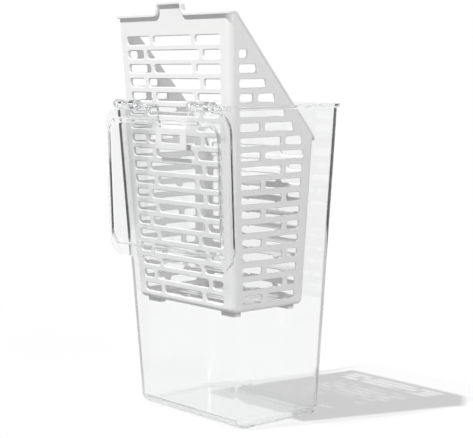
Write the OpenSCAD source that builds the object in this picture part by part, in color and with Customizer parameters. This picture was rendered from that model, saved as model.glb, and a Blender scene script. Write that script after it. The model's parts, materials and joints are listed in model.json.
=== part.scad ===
// Herb keeper: a clear tapered container, a clear flap lid on two barrel hinges, and a white
// slotted basket that hangs raised by its hook on the notch in the container's front wall.
// The origin is the centre of the container's base, +Z is up and the hinged front is at -Y.

/* [Container] */
// Height of the container, base to rim
container_h = 230; // [200:1:260]
// Width of the walls at the rim, outside
container_top_w = 145.4; // [135:0.2:160]
// Depth of the walls at the rim, outside
container_top_d = 99.4; // [92:0.2:115]
// Width of the walls at the base, outside
container_base_w = 124.6; // [118:0.2:134]
// Depth of the walls at the base, outside
container_base_d = 76.4; // [73:0.2:90]
// Thickness of the walls
wall_t = 2; // [1.6:0.1:2.6]
// Thickness of the floor
floor_t = 2.8; // [2:0.1:4]
// Radius of the upright corners
corner_r = 9; // [7:0.5:14]
// Radius of the edge round the base
base_edge_r = 6; // [4:0.5:6.5]
// How far the rim stands out from the walls
rim_out = 1.8; // [1:0.1:3]
// Height of the rim's band
rim_h = 2.6; // [2:0.1:4]

/* [Notch] */
// Width of the notch at the rim
notch_top_w = 39.2; // [36:0.2:44]
// Width of the notch at its foot
notch_foot_w = 32; // [30:0.5:36]
// Depth of the notch below the rim
notch_h = 19; // [14:0.5:24]
// Radius of the notch's lower corners
notch_r = 3.5; // [2:0.5:5]

/* [Hinge] */
// Distance of the hinge line outside the rim
hinge_out = 6.4; // [5.5:0.1:8]
// Depth of the hinge line below the rim
hinge_drop = 0.2; // [0:0.1:1]
// Distance from the middle to the inner end of a hinge
hinge_inner_x = 30; // [26:0.5:32]
// Distance from the middle to the outer end of a hinge
hinge_outer_x = 56.8; // [52:0.2:62]
// Diameter of the barrels and lugs
barrel_d = 7; // [6.4:0.1:7.6]
// Diameter of the stub pins
pin_d = 4; // [3:0.1:4.4]
// Length of a stub pin
pin_len = 5; // [3:0.5:8]
// Play round a stub pin
pin_play = 0.05; // [0.03:0.01:0.1]
// Thickness of a lug
lug_t = 3.2; // [2.4:0.2:4]
// Gap between a lug and a barrel
lug_gap = 0.3; // [0.2:0.05:0.6]

/* [Lid] */
// How far the lid's sides stay inside the rim's
lid_inset = 1.2; // [0:0.1:2]
// How far the lid's free edge stands out past the rim, to be lifted by
lid_overhang = 4.6; // [1:0.1:6]
// Thickness of the lid
lid_t = 2.2; // [1.8:0.1:2.6]
// Radius of the lid's corners at the free edge
lid_free_r = 16; // [8:0.5:20]
// Radius of the lid's corners at the hinge
lid_hinge_r = 14; // [8:0.5:18]
// Gap between the sunk panel and the container's opening
lid_play = 0.4; // [0.3:0.05:1]
// Width of the slope at each side of the sunk panel
lid_slope_w = 6; // [4:0.2:9]
// Depth of the slope at each end of the sunk panel
lid_slope_d = 3; // [2:0.2:6]
// Radius of the sunk panel's corners
lid_panel_r = 9; // [6:0.5:14]
// Depth of the sunk panel below the border
lid_sink = 3.6; // [2.5:0.1:4.5]
// Angle by which the hanging lid's free edge leans in to the wall
lid_lean = 1.5; // [0:0.1:3]

/* [Basket] */
// Width of the basket at its foot, outside
basket_base_w = 111.2; // [100:0.2:116]
// Depth of the basket at its foot, outside
basket_base_d = 66.2; // [60:0.2:68]
// Height of the tall front wall above the basket's foot
basket_h = 211.4; // [190:0.2:216]
// Height of the low back wall above the basket's foot
basket_back_h = 122; // [100:0.5:150]
// Thickness of the basket's walls
basket_wall_t = 1.8; // [1.4:0.1:2.4]
// Thickness of the basket's floor
basket_floor_t = 2; // [1.4:0.1:3]
// Radius of the basket's upright corners
basket_corner_r = 5; // [4.8:0.2:10]
// Radius of the edge round the basket's foot
basket_edge_r = 3.8; // [2:0.2:3.8]
// Depth of the level top at each side before the edge slopes down
shoulder_d = 6; // [5:0.5:12]
// Radius of the bend from the level top to the sloping edge
knee_r = 4; // [3:0.5:6]
// How far the lip stands out from the tall wall
lip_out = 1.8; // [1:0.1:3]
// How far the lip stands out from the low wall
back_lip_out = 1.2; // [0.6:0.1:1.6]
// Thickness of the lip along the tall wall's top
lip_t = 2.2; // [1.2:0.1:2.6]
// Radius of the lip's corners
lip_corner_r = 4.2; // [3:0.2:8]
// How far the lip stands out from the side walls
edge_out = 0.8; // [0.4:0.1:1.6]
// Thickness of the lip along the sloping edges
edge_t = 1.4; // [1:0.1:2.2]
// Thickness of the lip's outer edge along the low wall
lip_tip_t = 0.6; // [0.4:0.1:1]
// Height of the finger tab above the lip
tab_h = 8.2; // [7:0.1:10]
// Width of the finger tab at its top
tab_w = 30; // [24:0.5:36]
// Radius of the tab's corners and of the flares at its foot
tab_r = 3.4; // [1.5:0.1:4]
// Height of the feet
foot_h = 3.4; // [2:0.1:5]
// Length of a foot
foot_len = 15; // [10:0.5:20]
// Width of a foot
foot_w = 6; // [4:0.5:8]
// Gap between the tall wall and the container's wall
basket_play = 0.35; // [0.3:0.05:0.8]

/* [Slots] */
// Height of a slot
slot_h = 5.8; // [4.6:0.1:7]
// Radius of a slot's corners
slot_r = 2; // [1:0.1:2.2]
// Distance from one row of slots to the next
row_pitch = 10.2; // [9:0.1:13]
// Distance from the tall wall's top to the first row's middle
first_row_drop = 19; // [14:0.5:24]
// Least distance from the foot to the last row's middle
last_row_rise = 7.6; // [7:0.2:14]
// Length of the middle slot in the odd rows
odd_middle_len = 44; // [36:0.5:48]
// Length of the middle slot in the even rows
even_middle_len = 60; // [50:0.5:66]
// Width of the bar between two slots of a row
slot_bar = 4.6; // [3:0.1:6]
// Plain margin from a front or back row to the wall's edge
front_margin = 10.4; // [9:0.1:14]
// Plain margin from a side row to the tall wall
side_margin = 8.6; // [7.5:0.1:12]
// Plain margin from a side row to the sloping edge
slope_margin = 11.4; // [8:0.1:16]
// Length of the first slot in the even side rows
side_long_len = 37; // [30:0.5:42]
// Length of the first slot in the odd side rows
side_short_len = 17.4; // [12:0.2:22]
// Least length of an odd side row that is split in two
side_split_run = 25; // [20:0.5:32]
// Share of a short odd side row that its first slot takes
side_lead_share = 0.38; // [0.3:0.01:0.45]

/* [Hook] */
// Height of the hook's seat above the basket's foot
hook_seat_h = 127.5; // [118:0.5:140]
// Gap between the hook's seat and the foot of the notch
seat_gap = 0.1; // [0.05:0.05:0.3]
// Width of the hook's plate
hook_w = 35; // [30:0.5:40]
// Width of the arm over the notch
hook_arm_w = 25; // [18:0.5:27]
// Thickness of the arm
hook_arm_t = 2.2; // [1.6:0.1:3]
// Length of the plate below the seat
hook_drop = 13.4; // [10:0.2:18]
// Thickness of the plate
hook_t = 1.4; // [1.2:0.1:2]
// Least gap between the plate and the container's wall as the basket is lifted
hook_play = 0.35; // [0.3:0.05:0.6]
// Width of the window in the plate
window_w = 21.5; // [14:0.5:24]
// Height of the window in the plate
window_h = 5.8; // [4:0.1:7]

/* [Hidden] */
// Fineness of true curves and of the curves inside a hull
$fn = 48;
hull_fn = 32;
// Amount by which a cut runs past the face it opens
over = 1;
// Thickness of the thin top slice of a tapered hull
slice = 0.01;
// Straight steps in an arc of the tab's outline and in a slot's corner
arc_steps = 8;
slot_steps = 4;

// Walls of the container: how far each leans out for each millimetre of height
side_draft = (container_top_w - container_base_w) / 2 / container_h;
front_draft = (container_top_d - container_base_d) / 2 / container_h;
function container_half_d(z) = container_base_d / 2 + front_draft * z;

// Hinge line and the lid's place on it
hinge_y = -container_top_d / 2 - rim_out - hinge_out;
hinge_z = container_h - hinge_drop;
barrel_len = hinge_outer_x - hinge_inner_x - 2 * (lug_t + lug_gap);
hinge_mid_x = (hinge_inner_x + hinge_outer_x) / 2;
lid_edge_gap = 0.7;
lid_near_y = barrel_d / 2 + lid_edge_gap;
lid_w = container_top_w + 2 * (rim_out - lid_inset);
lid_reach = hinge_out + container_top_d + 2 * rim_out + lid_overhang;
hang_turn = 270 + lid_lean;

// Place of the raised basket: its hook on the notch, its tall wall along the container's wall
notch_z = container_h - notch_h;
basket_z = notch_z + seat_gap - hook_seat_h;
basket_y = basket_base_d / 2 - (container_half_d(basket_z) - wall_t - basket_play);

// Height above the notch's foot where the notch is as wide as the hook's plate
plate_pass_h = notch_h * max(hook_w - notch_foot_w, 0) / (notch_top_w - notch_foot_w);

// Basket sections at a height above its foot
function basket_half_w(z) = basket_base_w / 2 + side_draft * z;
function basket_half_d(z) = basket_base_d / 2 + front_draft * z;
tab_top = basket_h + tab_h;

// Sloping top edge of the side walls, from the shoulder down to the back wall
slope_y0 = -basket_half_d(basket_h) + shoulder_d;
slope_y1 = basket_half_d(basket_back_h);
slope_run = (slope_y1 - slope_y0) / (basket_h - basket_back_h);
slope_stretch = sqrt(1 + 1 / (slope_run * slope_run));
slope_turn = atan(1 / slope_run);
lip_low_z = basket_back_h - back_lip_out / slope_run - lip_tip_t;
function slope_y(z) = slope_y0 + (basket_h - z) * slope_run;

// Rows of slots, counted down from the top
row_count = floor((basket_h - first_row_drop - last_row_rise) / row_pitch) + 1;
function row_z(row) = basket_h - first_row_drop - (row - 1) * row_pitch;
function is_odd(row) = row % 2 == 1;

// Rectangle with round corners, centred, as true arcs
module round_rect(w, d, r) {
    square([w - 2 * r, d], center = true);
    square([w, d - 2 * r], center = true);
    for (x = [-1, 1], y = [-1, 1])
        translate([x * (w / 2 - r), y * (d / 2 - r)]) circle(r);
}

// Tapered block with round corners and a round lower edge, which grows by the drafts up to height h
module tapered_block(w, d, h, r, edge_r) {
    hull($fn = hull_fn)
        for (x = [-1, 1], y = [-1, 1]) {
            translate([x * (w / 2 - r), y * (d / 2 - r), edge_r])
                rotate_extrude($fn = hull_fn)
                    intersection() {
                        translate([r - edge_r, 0]) circle(edge_r, $fn = hull_fn);
                        translate([0, -edge_r]) square([r, 2 * edge_r]);
                    }
            translate([x * (w / 2 + side_draft * h - r), y * (d / 2 + front_draft * h - r), h - slice])
                cylinder(r = r, h = slice, $fn = hull_fn);
        }
}

// Points of an arc about a centre, from one angle to another
function arc(cx, cy, r, from, to, steps = arc_steps) = [
    for (i = [0 : steps]) let (t = from + (to - from) * i / steps) [cx + r * cos(t), cy + r * sin(t)]
];

// Slot with round corners from a to b, or a round hole where it is short
module slot_2d(a, b, z) {
    x = abs(b - a) / 2 - slot_r;
    y = slot_h / 2 - slot_r;
    translate([(a + b) / 2, z])
        if (abs(b - a) > slot_h)
            polygon(concat(
                arc(x, y, slot_r, 0, 90, slot_steps),
                arc(-x, y, slot_r, 90, 180, slot_steps),
                arc(-x, -y, slot_r, 180, 270, slot_steps),
                arc(x, -y, slot_r, 270, 360, slot_steps)
            ));
        else
            circle(d = slot_h);
}

// Sheet in the X and Z directions, run along Y from y0 to y1
module along_y(y0, y1) {
    translate([0, y1, 0]) rotate([90, 0, 0]) linear_extrude(y1 - y0) children();
}

// Sheet in the Y and Z directions, run along X from x0 to x1
module along_x(x0, x1) {
    translate([x0, 0, 0]) rotate([90, 0, 90]) linear_extrude(x1 - x0) children();
}

// Rim band with the opening left for the container's inside
module rim_band() {
    translate([0, 0, container_h - rim_h])
        linear_extrude(rim_h)
            round_rect(container_top_w + 2 * rim_out, container_top_d + 2 * rim_out, corner_r + rim_out);
}

// Lug that carries a stub pin: a round eye on an arm from the rim
module lug(x) {
    arm_len = hinge_out + rim_out + wall_t / 2;
    translate([0, hinge_y, hinge_z])
        along_x(x - lug_t / 2, x + lug_t / 2) {
            circle(d = barrel_d);
            translate([0, -barrel_d / 2]) square([arm_len, barrel_d / 2]);
        }
}

// Stub pin from a lug towards the barrel, to_side is +1 or -1 along X
module stub_pin(x, to_side) {
    translate([x, hinge_y, hinge_z])
        rotate([0, to_side * 90, 0]) cylinder(d = pin_d, h = lug_t / 2 + pin_len);
}

module hinge_lugs(side) {
    inner_x = side * (hinge_inner_x + lug_t / 2);
    outer_x = side * (hinge_outer_x - lug_t / 2);
    lug(inner_x);
    lug(outer_x);
    stub_pin(inner_x, side);
    stub_pin(outer_x, -side);
}

module notch_cut() {
    along_y(-container_top_d, -container_base_d / 4)
        hull() {
            for (x = [-1, 1])
                translate([x * (notch_foot_w / 2 - notch_r), notch_z + notch_r]) circle(notch_r, $fn = hull_fn);
            translate([-notch_top_w / 2, container_h]) square([notch_top_w, over]);
        }
}

module container_inside() {
    inner_edge_r = base_edge_r - wall_t / 2;
    translate([0, 0, floor_t])
        tapered_block(
            container_base_w - 2 * wall_t + 2 * side_draft * floor_t,
            container_base_d - 2 * wall_t + 2 * front_draft * floor_t,
            container_h - floor_t + over,
            corner_r - wall_t,
            inner_edge_r);
}

module container() {
    color([0.93, 0.95, 0.96, 0.35]) {
        difference() {
            union() {
                tapered_block(container_base_w, container_base_d, container_h, corner_r, base_edge_r);
                rim_band();
                for (side = [-1, 1]) hinge_lugs(side);
            }
            container_inside();
            notch_cut();
        }
    }
}

// Outline of the lid, seen from above when shut, from the hinge line
module lid_outline() {
    half_w = lid_w / 2;
    side_len = lid_reach - lid_near_y - lid_hinge_r - lid_free_r;
    translate([-half_w, lid_near_y + lid_hinge_r]) square([lid_w, side_len]);
    translate([-half_w + lid_hinge_r, lid_near_y]) square([lid_w - 2 * lid_hinge_r, lid_hinge_r + slice]);
    translate([-half_w + lid_free_r, lid_reach - lid_free_r - slice])
        square([lid_w - 2 * lid_free_r, lid_free_r + slice]);
    for (x = [-1, 1]) {
        translate([x * (half_w - lid_hinge_r), lid_near_y + lid_hinge_r]) circle(lid_hinge_r);
        translate([x * (half_w - lid_free_r), lid_reach - lid_free_r]) circle(lid_free_r);
    }
}

// Sunk block with sloping sides that drops into the container's opening, its top at z = 0
module lid_pan(top_t) {
    w = container_top_w - 2 * (wall_t + lid_play);
    d = container_top_d - 2 * (wall_t + lid_play);
    translate([0, -hinge_y, 0])
        hull() {
            linear_extrude(top_t) round_rect(w, d, corner_r - wall_t, $fn = hull_fn);
            translate([0, 0, -lid_sink])
                linear_extrude(slice)
                    round_rect(w - 2 * lid_slope_w, d - 2 * lid_slope_d, lid_panel_r, $fn = hull_fn);
        }
}

// Barrel on the lid with a blind bore at each end for the stub pins
module lid_barrel(side) {
    bore_len = pin_len + lug_gap;
    translate([side * hinge_mid_x, 0, 0])
        difference() {
            union() {
                rotate([0, 90, 0]) cylinder(d = barrel_d, h = barrel_len, center = true);
                translate([-barrel_len / 2, 0, hinge_drop])
                    cube([barrel_len, lid_near_y + lid_edge_gap, lid_t]);
            }
            for (end = [-1, 1])
                translate([end * (barrel_len / 2 - bore_len), 0, 0])
                    rotate([0, end * 90, 0]) cylinder(d = pin_d + 2 * pin_play, h = bore_len + over);
        }
}

// Lid in its shut position, measured from the hinge line
module lid_shut() {
    translate([0, 0, hinge_drop])
        difference() {
            union() {
                linear_extrude(lid_t) lid_outline();
                lid_pan(slice);
            }
            translate([0, 0, lid_t]) lid_pan(over);
        }
    for (side = [-1, 1]) lid_barrel(side);
}

module lid() {
    color([0.93, 0.95, 0.96, 0.35])
        translate([0, hinge_y, hinge_z]) rotate([hang_turn, 0, 0]) lid_shut();
}

// Front view of the tall wall: level top with a tab, lowered and narrowed by an inset
module crown_outline(inset) {
    half_tab = tab_w / 2 - inset;
    flare = tab_r + inset;
    corner = max(tab_r - inset, tab_r / 4);
    top = tab_top - inset;
    level = basket_h - inset;
    half_w = basket_half_w(basket_h) + lip_out + over;
    right_side = concat(
        [[half_w, level]],
        arc(half_tab + flare, level + flare, flare, 270, 180),
        arc(half_tab - corner, top - corner, corner, 0, 90)
    );
    left_side = [for (i = [len(right_side) - 1 : -1 : 0]) [-right_side[i][0], right_side[i][1]]];
    polygon(concat([[-half_w, -foot_h - over], [half_w, -foot_h - over]], right_side, left_side));
}

// Side view of the basket: all that lies below the level shoulder and the sloping edge, each lowered by a drop
module side_outline(level_drop, slope_drop) {
    reach = basket_half_d(tab_top) + lip_out + over;
    bend_r = knee_r - level_drop;
    bend_y = slope_y0 + slope_run * (level_drop - slope_drop) - bend_r * tan(slope_turn / 2);
    polygon(concat(
        [
            [-reach, -foot_h - over],
            [reach, -foot_h - over],
            [reach, basket_back_h - (reach - slope_y1) / slope_run - slope_drop]
        ],
        arc(bend_y, basket_h - level_drop - bend_r, bend_r, 90 - slope_turn, 90),
        [[bend_y, tab_top + over], [-reach, tab_top + over]]
    ));
}

// All that lies below the basket's top edge
module below_edge(level_drop, slope_drop) {
    intersection() {
        along_y(-container_top_d, container_top_d) crown_outline(level_drop);
        along_x(-container_top_w, container_top_w) side_outline(level_drop, slope_drop);
    }
}

module basket_block() {
    tapered_block(basket_base_w, basket_base_d, tab_top + over, basket_corner_r, basket_edge_r);
}

module basket_inside() {
    translate([0, 0, basket_floor_t])
        tapered_block(
            basket_base_w - 2 * basket_wall_t + 2 * side_draft * basket_floor_t,
            basket_base_d - 2 * basket_wall_t + 2 * front_draft * basket_floor_t,
            tab_top - basket_floor_t + 2 * over,
            basket_corner_r - basket_wall_t,
            basket_edge_r - basket_wall_t / 2);
}

// Lip that follows the top edge all round
module basket_lip() {
    difference() {
        intersection() {
            translate([0, (back_lip_out - lip_out) / 2, lip_low_z])
                tapered_block(
                    2 * (basket_half_w(lip_low_z) + edge_out),
                    2 * basket_half_d(lip_low_z) + lip_out + back_lip_out,
                    tab_top + over - lip_low_z,
                    lip_corner_r,
                    lip_tip_t / 2);
            below_edge(0, 0);
        }
        below_edge(lip_t, edge_t * slope_stretch);
    }
}

// Slots of the front and back walls: three in a row, the middle one longer in the even rows
module front_rows(first, last) {
    for (row = [first : 1 : last]) {
        z = row_z(row);
        middle = (is_odd(row) ? odd_middle_len : even_middle_len) / 2;
        edge = basket_half_w(z) - front_margin;
        at_hook = abs(z - hook_seat_h - hook_arm_t / 2) < (slot_h + hook_arm_t) / 2 + over;
        if (!at_hook) slot_2d(-middle, middle, z);
        for (x = [-1, 1]) slot_2d(x * (middle + slot_bar), x * edge, z);
    }
}

// Slots of one side wall, cut short by the sloping edge
module side_rows() {
    for (row = [1 : row_count]) {
        z = row_z(row);
        start = -basket_half_d(z) + side_margin;
        end = min(slope_y(z + slot_h / 2) - slope_margin, basket_half_d(z) - front_margin);
        run = end - start;
        lead = is_odd(row) ? min(side_short_len, side_lead_share * run) : side_long_len;
        least_run = is_odd(row) ? side_split_run : side_long_len + slot_bar + slot_h;
        if (run > least_run) {
            slot_2d(start, start + lead, z);
            slot_2d(start + lead + slot_bar, end, z);
        } else if (run > slot_h / 2) {
            slot_2d(start, max(end, start + slot_h), z);
        }
    }
}

// Rows of slots in the basket's floor
module floor_rows() {
    reach = basket_base_d / 2 - front_margin - slot_h;
    count = floor(2 * reach / (2 * row_pitch));
    edge = basket_base_w / 2 - front_margin - slot_bar;
    middle = odd_middle_len / 2;
    for (i = [0 : count]) {
        y = (i - count / 2) * 2 * row_pitch;
        slot_2d(-middle, middle, y);
        for (x = [-1, 1]) slot_2d(x * (middle + slot_bar), x * edge, y);
    }
}

module basket_slots() {
    reach_y = basket_half_d(tab_top);
    reach_x = basket_half_w(tab_top);
    back_row = ceil((basket_h - first_row_drop - basket_back_h + front_margin) / row_pitch) + 1;
    along_y(-reach_y - over, 0) front_rows(1, row_count);
    along_y(0, reach_y + over) front_rows(back_row, row_count);
    along_x(-reach_x - over, reach_x + over) side_rows();
    translate([0, 0, -over]) linear_extrude(basket_floor_t + 2 * over) floor_rows();
}

// Hook on the tall wall: an arm over the foot of the notch and an upright plate with a window
module basket_hook() {
    face_y = -basket_half_d(hook_seat_h);
    reach = basket_play + wall_t + front_draft * plate_pass_h + hook_play + hook_t;
    plate_h = hook_drop + hook_arm_t;
    window_z = (hook_arm_t - hook_drop) / 2;
    translate([0, face_y - reach, hook_seat_h]) {
        translate([-hook_arm_w / 2, 0, 0]) cube([hook_arm_w, reach + basket_wall_t / 2, hook_arm_t]);
        along_y(0, hook_t)
            difference() {
                translate([-hook_w / 2, -hook_drop]) square([hook_w, plate_h]);
                translate([0, window_z]) square([window_w, window_h], center = true);
            }
    }
}

module basket_feet() {
    x_mid = basket_base_w / 2 - basket_corner_r - foot_len / 2;
    y_mid = basket_base_d / 2 - basket_corner_r - foot_w / 2;
    for (x = [-1, 1], y = [-1, 1])
        translate([x * x_mid, y * y_mid, -foot_h])
            linear_extrude(foot_h + basket_floor_t / 2) round_rect(foot_len, foot_w, foot_w / 4);
}

module basket() {
    color([0.94, 0.94, 0.93])
        translate([0, basket_y, basket_z]) {
            difference() {
                union() {
                    intersection() {
                        basket_block();
                        below_edge(0, 0);
                    }
                    basket_lip();
                }
                basket_inside();
                basket_slots();
            }
            basket_hook();
            basket_feet();
        }
}

container();
lid();
basket();
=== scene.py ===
"""Looks of a herb keeper: a clear container with a flap lid, and a white slotted basket on its hook."""

import itertools
import json
import math

import bmesh
import bpy
from bpy.props import FloatProperty, FloatVectorProperty, PointerProperty
from bpy.types import Operator, Panel, PropertyGroup
from mathutils import Matrix, Vector


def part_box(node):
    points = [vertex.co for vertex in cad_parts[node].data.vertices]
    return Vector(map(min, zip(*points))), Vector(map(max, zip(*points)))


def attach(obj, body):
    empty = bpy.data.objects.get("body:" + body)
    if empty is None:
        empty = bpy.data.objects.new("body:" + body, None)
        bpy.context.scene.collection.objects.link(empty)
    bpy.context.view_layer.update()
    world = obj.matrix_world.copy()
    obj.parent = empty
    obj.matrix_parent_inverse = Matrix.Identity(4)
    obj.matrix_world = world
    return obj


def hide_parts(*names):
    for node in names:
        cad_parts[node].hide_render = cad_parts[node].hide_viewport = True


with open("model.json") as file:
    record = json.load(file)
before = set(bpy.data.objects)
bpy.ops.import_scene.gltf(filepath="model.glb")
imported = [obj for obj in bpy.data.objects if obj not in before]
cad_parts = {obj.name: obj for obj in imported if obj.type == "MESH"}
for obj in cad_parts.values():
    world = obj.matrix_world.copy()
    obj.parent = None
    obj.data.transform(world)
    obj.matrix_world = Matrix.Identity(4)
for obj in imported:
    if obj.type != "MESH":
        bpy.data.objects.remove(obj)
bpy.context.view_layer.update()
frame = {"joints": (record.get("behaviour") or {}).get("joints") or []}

bl_info = {
    "name": "Herb keeper",
    "version": (1, 0, 0),
    "blender": (4, 5, 0),
    "location": "View3D > Sidebar > Herb keeper",
    "description": "Builds a clear herb keeper with a flap lid and a slotted basket",
    "category": "Add Mesh",
}

MM = 0.001

# Places that the frame gives: the hinge line, the rim and the basket's foot
LID_JOINT = next(joint for joint in frame["joints"] if joint["name"] == "lid_hinge")
HINGE = Vector(LID_JOINT["pos_m"])
RIM_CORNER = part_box("container")[1]
BASKET_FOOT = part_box("basket")[0]

# Steps round each kind of arc, and over a rounded edge
CORNER_STEPS = 12
BEND_STEPS = 4
SLOT_STEPS = 5
SMALL_STEPS = 8
EYE_STEPS = 24
ROD_STEPS = 32
BARREL_STEPS = 40
EDGE_STEPS = 2

# Edges sharper than this are rounded, and how much the large faces count in smooth shading
SMOOTH_ANGLE = math.radians(35)
FLAT_WEIGHT = 80


def size(name, description, millimetres):
    """Setting for a size, written in millimetres and kept in metres."""
    metres = millimetres * MM
    return FloatProperty(name=name, description=description, default=metres, unit="LENGTH", precision=5)


def angle(name, description, degrees):
    """Setting for an angle, written in degrees and kept in radians."""
    turn = math.radians(degrees)
    return FloatProperty(name=name, description=description, default=turn, subtype="ANGLE")


def amount(name, description, default):
    """Setting for a plain number that is never below 0."""
    return FloatProperty(name=name, description=description, default=default, min=0)


def colour(name, description, default):
    """Setting for a colour."""
    return FloatVectorProperty(
        name=name, description=description, default=default, subtype="COLOR", min=0, max=1
    )


class KEEPER_PG_container(PropertyGroup):
    """Sizes of the clear container."""

    hinge_drop: size("Hinge drop", "Depth of the hinge line below the rim", 0.2)
    base_width: size("Base width", "Width of the walls at the base, outside", 124.6)
    base_depth: size("Base depth", "Depth of the walls at the base, outside", 76.4)
    wall: size("Wall", "Thickness of the walls", 2.0)
    floor: size("Floor", "Thickness of the floor", 2.8)
    corner_radius: size("Corner radius", "Radius of the upright corners", 9.0)
    base_edge: size("Base edge", "Radius of the edge round the base", 6.0)
    inner_edge: size("Inner edge", "Radius of the edge round the floor, inside", 5.0)
    rim_out: size("Rim", "How far the rim stands out from the walls", 1.8)
    rim_height: size("Rim height", "Height of the rim's band", 2.6)
    rim_round: size("Rim rounding", "Radius of the rim's edges", 0.6)
    notch_top: size("Notch top", "Width of the notch at the rim", 39.2)
    notch_foot: size("Notch foot", "Width of the notch at its foot", 32.0)
    notch_depth: size("Notch depth", "Depth of the notch below the rim", 19.0)
    notch_radius: size("Notch radius", "Radius of the notch's lower corners", 3.5)


class KEEPER_PG_hinge(PropertyGroup):
    """Sizes of the two barrel hinges."""

    inner: size("Inner end", "From the middle to a hinge's inner end", 30.0)
    outer: size("Outer end", "From the middle to a hinge's outer end", 56.8)
    barrel: size("Barrel", "Diameter of the barrels and lugs", 7.0)
    pin: size("Pin", "Diameter of the stub pins", 4.0)
    pin_length: size("Pin length", "Length of a stub pin", 5.0)
    pin_play: size("Pin play", "Play round a stub pin", 0.05)
    lug: size("Lug", "Thickness of a lug", 3.2)
    lug_gap: size("Lug gap", "Gap from a lug to a barrel", 0.3)
    edge_round: size("Edge rounding", "Radius of the edges of lugs and barrels", 0.4)


class KEEPER_PG_lid(PropertyGroup):
    """Sizes of the clear flap lid."""

    inset: size("Inset", "How far the lid's sides stay inside the rim's", 1.2)
    overhang: size("Overhang", "How far the free edge stands out past the rim", 4.6)
    edge_gap: size("Edge gap", "Gap from the lid's hinged edge to the barrels", 0.7)
    thickness: size("Thickness", "Thickness of the lid", 2.2)
    free_radius: size("Free corners", "Radius of the corners at the free edge", 16.0)
    hinge_radius: size("Hinge corners", "Radius of the corners at the hinge", 14.0)
    play: size("Play", "Gap from the sunk panel to the container's opening", 0.4)
    slope_side: size("Side slope", "Width of the slope at each side of the sunk panel", 6.0)
    slope_end: size("End slope", "Depth of the slope at each end of the sunk panel", 3.0)
    panel_radius: size("Panel corners", "Radius of the sunk panel's corners", 9.0)
    sink: size("Sink", "Depth of the sunk panel below the border", 3.6)
    edge_round: size("Edge rounding", "Radius of the lid's outer edge", 0.8)
    bend: size("Bend", "Length of the soft bends round the sunk panel", 1.3)
    lean: angle("Lean", "Angle by which the hanging lid leans in to the wall", 1.5)


class KEEPER_PG_basket(PropertyGroup):
    """Sizes of the white slotted basket."""

    base_width: size("Base width", "Width of the basket at its foot, outside", 111.2)
    base_depth: size("Base depth", "Depth of the basket at its foot, outside", 66.2)
    height: size("Height", "Height of the tall front wall above the foot", 211.4)
    back_height: size("Back height", "Height of the low back wall above the foot", 122.0)
    wall: size("Wall", "Thickness of the walls", 1.8)
    floor: size("Floor", "Thickness of the floor", 2.0)
    corner_radius: size("Corner radius", "Radius of the upright corners", 5.0)
    base_edge: size("Base edge", "Radius of the edge round the foot", 3.8)
    shoulder: size("Shoulder", "Depth of the level top at each side before the slope", 6.0)
    knee: size("Knee", "Radius of the bend from the top to the sloping edge", 4.0)
    lip_out: size("Lip", "How far the lip stands out from the tall wall", 1.8)
    back_out: size("Back lip", "How far the lip stands out from the low wall", 1.2)
    lip: size("Lip thickness", "Thickness of the lip along the tall wall's top", 2.2)
    lip_corner: size("Lip corners", "Radius of the lip's corners", 4.2)
    edge_out: size("Edge", "How far the lip stands out from the side walls", 0.8)
    edge: size("Edge thickness", "Thickness of the lip along the sloping edges", 1.4)
    tip: size("Tip", "Thickness of the lip's outer edge along the low wall", 0.6)
    tab_height: size("Tab height", "Height of the finger tab above the lip", 8.2)
    tab_width: size("Tab width", "Width of the finger tab at its top", 30.0)
    tab_radius: size("Tab radius", "Radius of the tab's corners and foot flares", 3.4)
    foot_height: size("Foot height", "Height of the feet", 3.4)
    foot_length: size("Foot length", "Length of a foot", 15.0)
    foot_width: size("Foot width", "Width of a foot", 6.0)
    play: size("Play", "Gap from the tall wall to the container's wall", 0.35)
    edge_round: size("Edge rounding", "Radius of the basket's top edges", 0.35)


class KEEPER_PG_slots(PropertyGroup):
    """Sizes of the basket's rows of slots."""

    height: size("Height", "Height of a slot", 5.8)
    corner: size("Corner", "Radius of a slot's corners", 2.0)
    edge_round: size("Edge rounding", "Radius of a slot's edges at both faces", 0.85)
    pitch: size("Pitch", "From one row to the next", 10.2)
    first_drop: size("First row", "From the tall wall's top to the first row", 19.0)
    last_rise: size("Last row", "Least distance from the foot to the last row", 7.6)
    odd_middle: size("Odd middle", "Length of the middle slot in the odd rows", 44.0)
    even_middle: size("Even middle", "Length of the middle slot in the even rows", 60.0)
    bar: size("Bar", "Width of the bar between two slots of a row", 4.6)
    front_margin: size("Front margin", "From a front or back row to the wall's edge", 10.4)
    side_margin: size("Side margin", "From a side row to the tall wall", 8.6)
    slope_margin: size("Slope margin", "From a side row to the sloping edge", 11.4)
    side_long: size("Long side slot", "Length of the first slot in the even side rows", 37.0)
    side_short: size("Short side slot", "Length of the first slot in the odd side rows", 17.4)
    split_run: size("Split run", "Least length of an odd side row that is split in two", 25.0)
    lead_share: FloatProperty(
        name="Lead share",
        description="Share of a short odd side row that its first slot takes",
        default=0.38,
        subtype="FACTOR",
    )


class KEEPER_PG_hook(PropertyGroup):
    """Sizes of the hook that holds the basket up."""

    seat: size("Seat", "Height of the hook's seat above the basket's foot", 127.5)
    width: size("Width", "Width of the plate", 35.0)
    arm_width: size("Arm width", "Width of the arm over the notch", 25.0)
    arm: size("Arm", "Thickness of the arm", 2.2)
    drop: size("Drop", "Length of the plate below the seat", 13.4)
    plate: size("Plate", "Thickness of the plate", 1.4)
    play: size("Play", "Least gap from the plate to the wall as the basket is lifted", 0.35)
    window_width: size("Window width", "Width of the window in the plate", 21.5)
    window_height: size("Window height", "Height of the window in the plate", 5.8)
    edge_round: size("Edge rounding", "Radius of the hook's edges", 0.5)


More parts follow.
